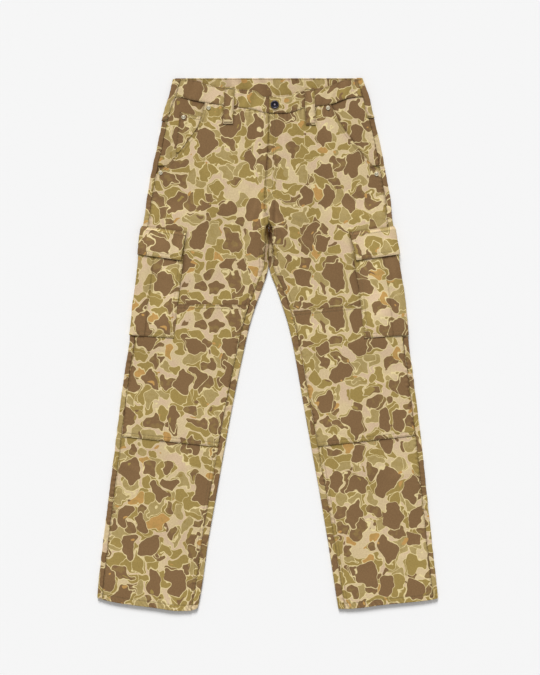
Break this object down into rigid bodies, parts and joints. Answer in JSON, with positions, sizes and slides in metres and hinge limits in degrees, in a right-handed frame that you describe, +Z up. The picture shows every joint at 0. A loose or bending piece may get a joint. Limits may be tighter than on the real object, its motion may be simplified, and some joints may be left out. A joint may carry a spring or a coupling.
{
  "type": "cargo pants laid flat",
  "caption": "Long camouflage cargo pants laid flat with the front up: slash and coin pockets, pleated side cargo pockets with flaps, knee patches, belt loops and a buttoned waistband.",
  "frame": {"origin": "middle of the garment's bounding box, on the surface that it lies on", "axes": "+Z up from the surface, +Y to the waistband, +X to the viewer's right as the front is seen from above"},
  "size_m": [0.6821, 1.066, 0.0156],
  "materials": {
    "twill": "matte cotton twill with a printed sand, olive and brown camouflage",
    "button_metal": "dark enamelled",
    "rivet_metal": "pale, softly brushed"
  },
  "bodies": {
    "root": {"front_left": "twill", "front_right": "twill", "back_left": "twill", "back_right": "twill", "waistband": "twill", "pocket_facing_left": "twill", "pocket_facing_right": "twill", "coin_pocket": "twill", "knee_patch_left": "twill", "knee_patch_right": "twill", "cargo_pocket_left": "twill", "cargo_pocket_right": "twill", "cargo_flap_left": "twill", "cargo_flap_right": "twill", "belt_loop_front_left": "twill", "belt_loop_front_right": "twill", "belt_loop_side_left": "twill", "belt_loop_side_right": "twill", "button": "button_metal", "rivet_waist_left": "rivet_metal", "rivet_coin_left": "rivet_metal", "rivet_side_left": "rivet_metal", "rivet_waist_right": "rivet_metal", "rivet_side_right": "rivet_metal"}
  },
  "joints": []
}
